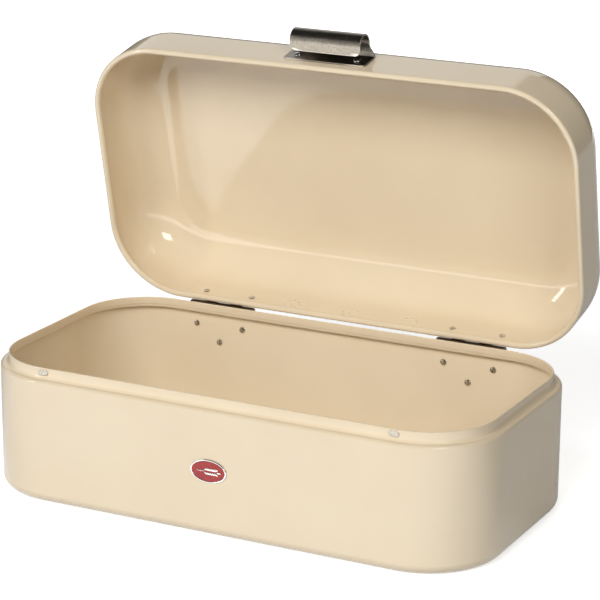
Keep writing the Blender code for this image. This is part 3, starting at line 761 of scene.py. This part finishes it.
def dome_rivet_profile():
    """Z runs outwards from the handle plate's face: dome, shank, then the flat inner tail."""
    tail = -(HANDLE_SHEET + GAP + SHEET + GAP)
    low = 0.2 * MM
    profile = [(0, GAP + HANDLE_RIVET_RISE)]
    for degrees in (82, 74, 66, 56, 46, 36, 26, 16, 8, 0):
        angle = math.radians(degrees)
        profile.append((HANDLE_RIVET_HEAD * math.cos(angle),
                        GAP + low + (HANDLE_RIVET_RISE - low) * math.sin(angle)))
    profile += [(HANDLE_RIVET_HEAD - 0.1 * MM, GAP), (RIVET_RADIUS, GAP), (RIVET_RADIUS, tail),
                (RIVET_HEAD_RADIUS - 0.1 * MM, tail), (RIVET_HEAD_RADIUS, tail - 0.1 * MM),
                (RIVET_HEAD_RADIUS, tail - 0.5 * MM), (RIVET_HEAD_RADIUS - 0.2 * MM, tail - 0.8 * MM),
                (RIVET_HEAD_RADIUS - 0.5 * MM, tail - 0.9 * MM), (0, tail - 0.9 * MM)]
    return profile


def make_rivets(steel):
    rows = []
    for i, place in enumerate(base_rivet_places()):
        side = "left" if place.x < 0 else "right"
        rows.append((f"hinge_{side}_base_rivet_{i % 3 + 1}", "base", place))
    for i, place in enumerate(lid_rivet_places()):
        side = "left" if place.x < 0 else "right"
        rows.append((f"hinge_{side}_lid_rivet_{i % 2 + 1}", "lid", place))
    for node, body, place in rows:
        seat = Matrix.Translation(place - Vector((0, SHEET, 0))) @ Z_TO_FRONT
        rivet = turned(node.replace("rivet", "blind_rivet"), blind_rivet_profile(), 32, seat)
        finish_piece(rivet, steel, body, [node], opened=body == "lid")
    for side, place in zip(("left", "right"), handle_rivet_places()):
        seat = Matrix.Translation(place - Vector((0, GAP + HANDLE_SHEET, 0))) @ Z_TO_FRONT
        rivet = turned(f"handle_dome_rivet_{side}", dome_rivet_profile(), 40, seat)
        finish_piece(rivet, steel, "lid", [f"handle_rivet_{side}"], opened=True)


# ------------------------------------------------------------------ handle

def handle_path():
    """Middle of the handle's sheet in (u, h): plate, tight fold, slope, round nose and lip."""
    half = HANDLE_SHEET / 2
    plate_u = GAP + half
    fold = HANDLE_FOLD_RADIUS
    fold_centre = (plate_u + fold, HANDLE_TOP_H - half - fold)
    nose_radius = HANDLE_NOSE_RADIUS - half
    run = Vector(HANDLE_NOSE) - Vector(fold_centre)
    slope = math.atan2(run.y, run.x) + math.asin((nose_radius - fold) / run.length)
    tangent = 90 + math.degrees(slope)
    path = [(plate_u, HANDLE_FOOT_H)]
    path += arc(fold_centre, fold, 180, tangent, HANDLE_FOLD_STEPS)
    path += arc(HANDLE_NOSE, nose_radius, tangent, -90, HANDLE_NOSE_STEPS)
    path += [(HANDLE_LIP_U, HANDLE_NOSE[1] - nose_radius)]
    return [Vector(point) for point in path]


def handle_half_width(along, fold_end, total):
    """Half the sheet's width at a distance along it: rounded ends, and a taper past the fold."""
    plate = HANDLE_PLATE_WIDTH / 2
    grip = HANDLE_GRIP_WIDTH / 2
    share = min(max((along - fold_end) / HANDLE_TAPER, 0), 1)
    half = plate + (grip - plate) * (1 - math.cos(math.pi * share)) / 2
    for radius, left in ((HANDLE_PLATE_CORNER, along), (HANDLE_LIP_CORNER, total - along)):
        if left < radius:
            half -= radius - math.sqrt(max(radius ** 2 - (radius - left) ** 2, 0.0))
    return half


def handle_stations(lengths, fold_end):
    """Distances along the sheet for its rows: every bend, corner step and taper step."""
    total = lengths[-1]
    stations = set(lengths)
    for radius, sign, end in ((HANDLE_PLATE_CORNER, 1, 0.0), (HANDLE_LIP_CORNER, -1, total)):
        stations |= {end + sign * radius * (1 - math.cos(math.radians(a))) for a in range(15, 91, 15)}
    stations |= {fold_end + HANDLE_TAPER * step / 8 for step in range(1, 9)}
    crowded = 0.12 * MM            # rows closer than this are left out
    rows = []
    for along in sorted(stations):
        if not rows or along - rows[-1] > crowded:
            rows.append(along)
    return rows[:-1] + [total]


def make_handle(steel):
    """The sheet with rounded ends, bent along the path."""
    path = handle_path()
    lengths = [0.0]
    for first, second in zip(path, path[1:]):
        lengths.append(lengths[-1] + (second - first).length)
    fold_end = lengths[HANDLE_FOLD_STEPS + 1]
    bm = bmesh.new()
    columns = 8
    rows = []
    for along in handle_stations(lengths, fold_end):
        k = max(i for i in range(len(lengths) - 1) if lengths[i] <= along)
        u, h = path[k].lerp(path[k + 1], (along - lengths[k]) / (lengths[k + 1] - lengths[k]))
        half = handle_half_width(along, fold_end, lengths[-1])
        rows.append([bm.verts.new((half * (2 * c / columns - 1), -DEPTH / 2 - u, SHOULDER_Z + h))
                     for c in range(columns + 1)])
    for first, second in zip(rows, rows[1:]):
        for c in range(columns):
            bm.faces.new((first[c], first[c + 1], second[c + 1], second[c]))
    obj = add_object("handle_grip_sheet", bm)
    modify(obj, "SOLIDIFY", thickness=HANDLE_SHEET, offset=0.0, use_even_offset=True)
    modify(obj, "BEVEL", width=0.25 * MM, segments=3, limit_method="ANGLE",
           angle_limit=math.radians(50))
    apply_modifiers(obj)
    mark_edges(obj)
    drill(obj, handle_rivet_places())
    finish_piece(obj, steel, "lid", ["handle"], opened=True)


# ------------------------------------------------------------------ small pieces

def oval(width, height, y, steps=72):
    """An upright oval on the front wall at depth y."""
    return [Vector((width / 2 * x, y, BADGE_MIDDLE_Z + height / 2 * z))
            for x, z in arc((0, 0), 1, 0, 360, steps)[:-1]]


def make_badge_rim(metal):
    """A rounded oval rim with a pocket in its middle for the enamel."""
    width = BADGE_HIGH.x - BADGE_LOW.x
    height = BADGE_HIGH.z - BADGE_LOW.z
    back, front = BADGE_HIGH.y, BADGE_LOW.y
    rings = [oval(width, height, back)]
    for degrees in range(0, 181, 15):
        angle = math.radians(degrees)
        across = BADGE_RIM / 2 * (1 - math.cos(angle))
        y = back + (front - back) * (0.45 + 0.55 * math.sin(angle))
        rings.append(oval(width - 2 * across, height - 2 * across, y))
    pocket = 2 * BADGE_RIM - 0.2 * MM
    rings.append(oval(width - pocket, height - pocket, (front + back) / 2))
    bm = bmesh.new()
    skin(bm, rings)
    rim = add_object("badge_oval_rim", bm)
    finish_piece(rim, metal, "base", ["badge_rim"])


def make_badge_field(red, front, back):
    """A slightly domed enamel field in the rim."""
    width = BADGE_HIGH.x - BADGE_LOW.x - 2 * BADGE_RIM
    height = BADGE_HIGH.z - BADGE_LOW.z - 2 * BADGE_RIM
    rings = [oval(width, height, back)]
    for share in (1.0, 0.97, 0.9, 0.75, 0.5, 0.25):
        dome = front + 0.12 * MM * share ** 4
        rings.append(oval(width * share, height * share, dome))
    bm = bmesh.new()
    skin(bm, rings)
    field = add_object("badge_enamel_field", bm)
    finish_piece(field, red, "base", ["badge_field"])


def make_badge_ear(metal, front):
    """A plain ear of wheat on the field: a stalk, pairs of grains and one at the tip."""
    face = front - 0.02 * MM
    bm = bmesh.new()
    stalk = Vector((-5.95 * MM, face, BADGE_MIDDLE_Z))
    add_grain(bm, stalk, 0.0, 7.6 * MM, 0.7 * MM)
    for i in range(GRAIN_PAIRS):
        x = -1.5 * MM + i * GRAIN_PITCH
        for sign in (-1, 1):
            grain = Vector((x, face, BADGE_MIDDLE_Z + sign * 1.55 * MM))
            add_grain(bm, grain, sign * 28.0, 3.3 * MM, 1.5 * MM)
    tip = Vector((9.2 * MM, face, BADGE_MIDDLE_Z))
    add_grain(bm, tip, 0.0, 3.4 * MM, 1.5 * MM)
    ear = add_object("badge_wheat_ear", bm)
    finish_piece(ear, metal, "base")


def make_badge(metal, red):
    field_low, field_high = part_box("badge_field")
    make_badge_rim(metal)
    make_badge_field(red, field_low.y, field_high.y)
    make_badge_ear(metal, field_low.y)


def add_grain(bm, centre, tilt, length, width):
    """A flat-backed pointed grain on the badge's face, tilted in degrees from the horizontal."""
    steps = 12
    rings = []
    for share, lift in ((1.0, 0.0), (0.9, 0.55), (0.6, 0.9), (0.2, 1.0)):
        ring = []
        for i in range(2 * steps):
            angle = math.pi * i / steps
            x = length / 2 * math.cos(angle) * share
            z = width / 2 * math.sin(angle) * abs(math.sin(angle)) ** 0.35 * share
            ring.append(Vector((x, -GRAIN_RISE * lift, z)))
        rings.append(ring)
    turn = Matrix.Translation(centre) @ Matrix.Rotation(math.radians(-tilt), 4, "Y")
    skin(bm, [[turn @ point for point in ring] for ring in rings])


# outline size and distance out from the neck, both as shares of the pad's own
PAD_CROWN = ((0.97, 0.0), (1.0, 0.15), (1.0, 0.4), (0.95, 0.7), (0.82, 0.9), (0.6, 0.98), (0.3, 1.0))


def make_bumpers(soft):
    """Soft silicone pads on the neck's front, crowned towards the lid."""
    for side in ("left", "right"):
        node = f"bumper_{side}"
        low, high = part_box(node)
        centre = (low + high) / 2
        half_x, half_z = (high.x - low.x) / 2, (high.z - low.z) / 2
        bm = bmesh.new()
        rings = []
        for share, out in PAD_CROWN:
            y = high.y - (high.y - low.y) * out
            edge = half_z * share
            straight = half_x - half_z
            ring = []
            for shift, start in ((straight, -90), (-straight, 90)):
                for x, z in arc((shift * min(1.0, share + 0.2), 0), edge, start, start + 180, 12):
                    ring.append(Vector((centre.x + x, y, centre.z + z)))
            rings.append(ring)
        skin(bm, rings)
        pad = add_object(f"silicone_pad_{side}", bm)
        finish_piece(pad, soft, "base", [node], smooth=60)


# ------------------------------------------------------------------ studio

FLOOR_RADIUS = 9.0
FLOOR_DROP = 0.2 * MM
FLOOR_GLOW = 0.6               # what the camera sees of the light under the floor
PAINTED_REFLECTION_GLOW = 1.1              # painted reflection: a glow that only the bin's gloss sees, strongest in front of the bin; it lights nothing
# where the painted reflection on the floor is at full strength, and where it has faded to nothing
REFLECTION_FULL_Y = -0.2
REFLECTION_NONE_Y = 0.05
FLOOR_BOUNCE = (0.5, 0.5, 0.5, 1.0)    # the floor's colour for the light that it throws back
AMBIENT = 0.03                 # even light from all round
PANELS_AIM = Vector((0, 0, 0.15))
# name, azimuth, elevation, distance, width, height, brightness and whether reflections show it
PANELS = [
    ("key_panel", 46, 28, 3.0, 1.0, 0.6, 9.5, True),
    ("tall_panel", -42, 13, 3.0, 0.32, 1.6, 8.0, True),
    ("fill_panel", 0, 35, 3.0, 1.8, 1.3, 8.8, False),
    ("right_fill_panel", 50, 5, 3.0, 1.2, 1.0, 1.9, False),
    ("left_panel", -95, 20, 3.0, 1.2, 1.2, 0.8, True),
    ("backdrop_panel", -150, 30, 3.0, 2.4, 1.6, 0.9, True),
    ("back_fill_panel", 184, 10, 3.0, 2.0, 1.2, 5.5, False),
]


def floor_paint():
    """White matt floor, very slightly uneven, glowing evenly to the camera as if lit through from
    below, grey to bounced light, and carrying a painted reflection: a glow that only the bin's gloss
    sees, in front of the bin.
    """
    material, n = new_material("floor_paint", IOR=1.3, Roughness=0.7,
                               Emission_Color=(1.0, 1.0, 1.0, 1.0))
    place = n.place()
    cloud = n.noise(place, 3.0, 4.0)
    pale = n.two_tone(cloud, (0.90, 0.90, 0.90), (0.93, 0.93, 0.925))
    rays = n.add("ShaderNodeLightPath").outputs
    n.feed(n.shader.inputs["Base Color"], n.mix(rays["Is Diffuse Ray"], pale, FLOOR_BOUNCE))
    depth = n.add("ShaderNodeSeparateXYZ", Vector=place).outputs["Y"]
    front = n.add("ShaderNodeMapRange", Value=depth)
    front.inputs["From Min"].default_value = REFLECTION_NONE_Y
    front.inputs["From Max"].default_value = REFLECTION_FULL_Y
    front.inputs["To Max"].default_value = PAINTED_REFLECTION_GLOW
    # painted reflection: the floor glows for glossy rays only, fading out towards the bin, so the
    # enamel mirrors a light that lights nothing
    painted_reflection = n.compute("MULTIPLY", rays["Is Glossy Ray"], front.outputs["Result"])
    seen = n.compute("MULTIPLY", rays["Is Camera Ray"], FLOOR_GLOW)
    n.feed(n.shader.inputs["Emission Strength"], n.compute("ADD", painted_reflection, seen))
    return material


def add_floor():
    bm = bmesh.new()
    bmesh.ops.create_circle(bm, cap_ends=True, segments=128, radius=FLOOR_RADIUS,
                            matrix=Matrix.Translation((0, 0, -FLOOR_DROP)))
    floor = add_object("studio_floor", bm)
    floor.data.materials.append(floor_paint())


def add_panel(name, azimuth, elevation, distance, width, height, brightness, reflected):
    """A soft, even light panel that faces the bin and that the camera doesn't see.

    The azimuth runs from the front towards +X, in degrees.
    """
    around = math.radians(azimuth)
    up = math.radians(elevation)
    level = math.cos(up)
    outwards = Vector((math.sin(around) * level, -math.cos(around) * level, math.sin(up)))
    data = bpy.data.lights.new(name, "AREA")
    data.shape = "RECTANGLE"
    data.size = width
    data.size_y = height
    data.energy = brightness * math.pi * width * height
    panel = bpy.data.objects.new(name, data)
    turn = outwards.to_track_quat("Z", "Y").to_matrix().to_4x4()
    panel.matrix_world = Matrix.Translation(PANELS_AIM + outwards * distance) @ turn
    panel.visible_camera = False
    panel.visible_glossy = reflected
    bpy.context.scene.collection.objects.link(panel)


def add_world():
    """Even grey surroundings for the light, and a white backdrop for the camera."""
    world = bpy.data.worlds.new("studio")
    world.use_nodes = True
    bpy.context.scene.world = world
    tree = world.node_tree
    ambient = tree.nodes["Background"]
    ambient.inputs["Color"].default_value = (1.0, 1.0, 1.0, 1.0)
    ambient.inputs["Strength"].default_value = AMBIENT
    backdrop = tree.nodes.new("ShaderNodeBackground")
    backdrop.inputs["Color"].default_value = (1.0, 1.0, 1.0, 1.0)
    backdrop.inputs["Strength"].default_value = 1.0
    path = tree.nodes.new("ShaderNodeLightPath")
    mix = tree.nodes.new("ShaderNodeMixShader")
    tree.links.new(path.outputs["Is Camera Ray"], mix.inputs["Fac"])
    tree.links.new(ambient.outputs["Background"], mix.inputs[1])
    tree.links.new(backdrop.outputs["Background"], mix.inputs[2])
    tree.links.new(mix.outputs["Shader"], tree.nodes["World Output"].inputs["Surface"])


def add_studio():
    add_floor()
    add_world()
    for panel in PANELS:
        add_panel(*panel)


# ------------------------------------------------------------------ build

def build():
    bpy.context.scene.view_settings.view_transform = "Standard"
    add_camera()
    make_shells(enamel())
    pin_steel = turned_steel("pin_steel", (0.30, 0.27, 0.23), (0.45, 0.41, 0.36), 0.30)
    make_hinges(hinge_steel(), pin_steel)
    make_rivets(turned_steel("rivet_steel", (0.66, 0.64, 0.61), (0.86, 0.84, 0.81), 0.16))
    make_handle(handle_steel())
    make_badge(badge_metal(), badge_enamel())
    make_bumpers(silicone())
    add_studio()


build()
